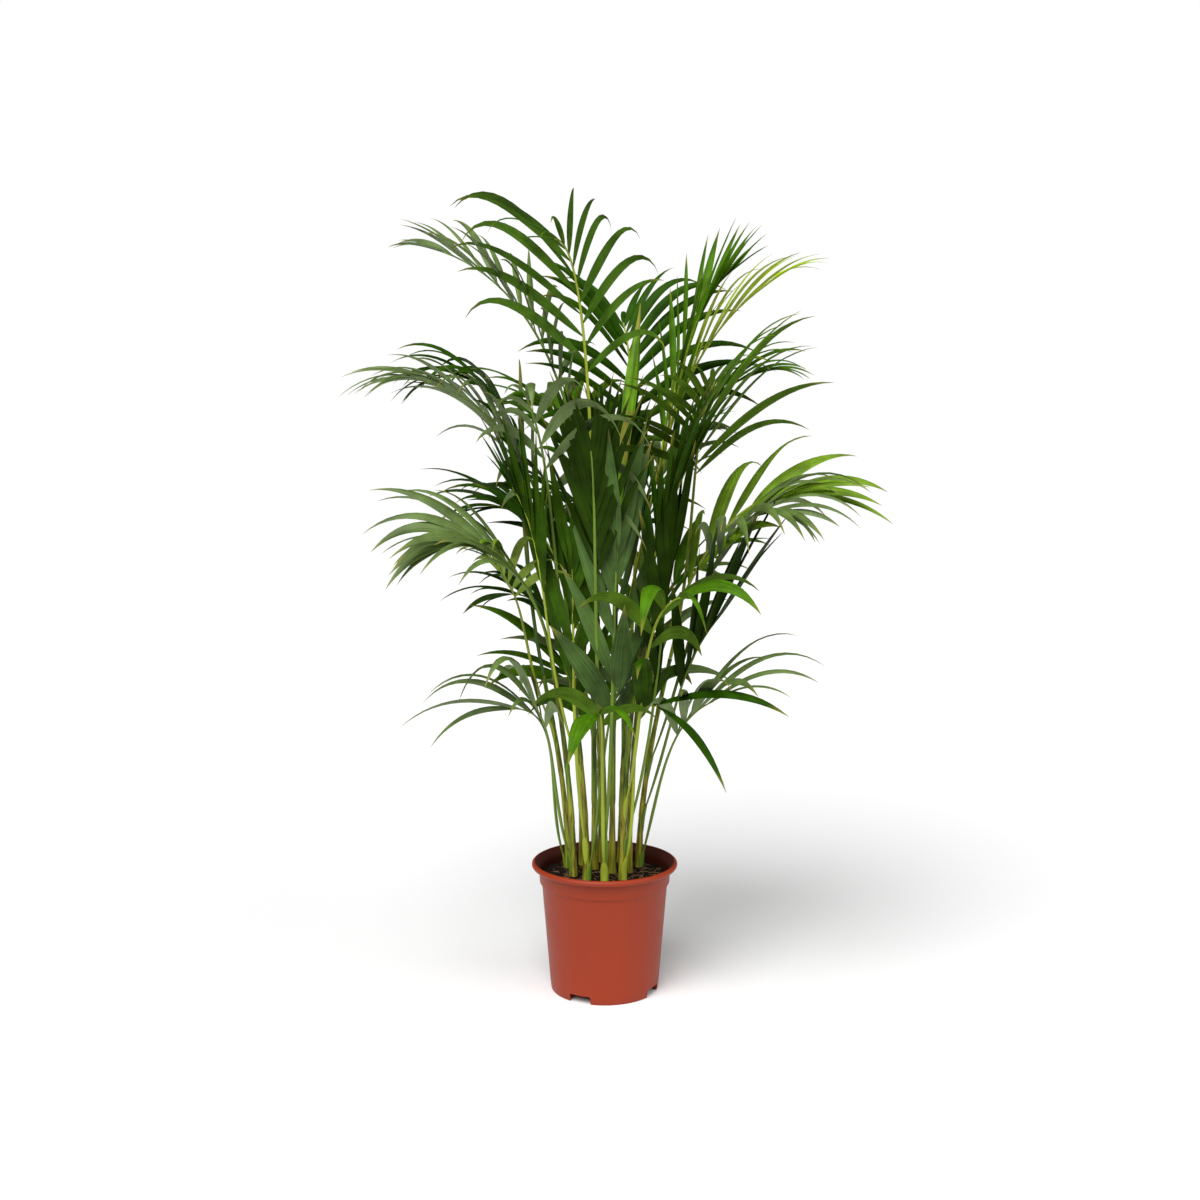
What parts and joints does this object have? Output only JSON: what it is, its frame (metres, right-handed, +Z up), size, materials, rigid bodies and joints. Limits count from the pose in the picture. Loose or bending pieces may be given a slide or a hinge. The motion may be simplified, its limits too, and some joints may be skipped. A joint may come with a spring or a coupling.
{
  "type": "potted areca palm",
  "caption": "Clump of slender green-yellow canes with arching feathered fronds, growing in soil in a stepped terracotta-coloured nursery pot.",
  "frame": {"origin": "centre of the pot's flat underside, on the ground", "axes": "+Z up along the pot's axis, -Y towards the viewer in the picture, +X to the viewer's right"},
  "size_m": [0.6375, 0.5085, 0.9421],
  "materials": {
    "pot": "satin",
    "soil": "rough",
    "cane": "satin",
    "leaf": "satin",
    "young_leaf": "satin"
  },
  "bodies": {
    "root": {"cane_back_left": "cane", "cane_back_right": "cane", "cane_centre": "cane", "cane_centre_back": "cane", "cane_front_centre": "cane", "cane_front_left": "cane", "cane_front_right": "cane", "cane_left_back": "cane", "cane_left_front": "cane", "cane_left_inner": "cane", "cane_right_back": "cane", "cane_right_inner": "cane", "frond_back_foot_left": "leaf", "frond_back_foot_right": "leaf", "frond_back_left": "leaf", "frond_back_left_low": "leaf", "frond_back_mid": "leaf", "frond_back_right": "leaf", "frond_back_right_low": "leaf", "frond_back_top": "leaf", "frond_centre_dark": "leaf", "frond_centre_right": "leaf", "frond_front_bright": "leaf", "frond_front_left_low": "leaf", "frond_front_left_mid": "leaf", "frond_front_low": "leaf", "frond_front_mid": "leaf", "frond_inner_front": "leaf", "frond_inner_left": "leaf", "frond_inner_right": "leaf", "frond_low_left": "leaf", "frond_low_left_back": "leaf", "frond_low_mid_left": "leaf", "frond_low_mid_left_back": "leaf", "frond_low_right": "leaf", "frond_low_right_front": "leaf", "frond_mid_left": "leaf", "frond_mid_left_back": "leaf", "frond_mid_left_front": "leaf", "frond_mid_right": "leaf", "frond_mid_right_back": "leaf", "frond_right_arch": "leaf", "frond_right_bright": "leaf", "frond_right_upright": "leaf", "frond_top_centre": "leaf", "frond_top_left": "leaf", "frond_top_right": "leaf", "frond_upper_left": "leaf", "frond_young_right": "young_leaf", "pot": "pot", "soil": "soil", "spear_centre": "young_leaf", "spear_left": "young_leaf"}
  },
  "joints": []
}
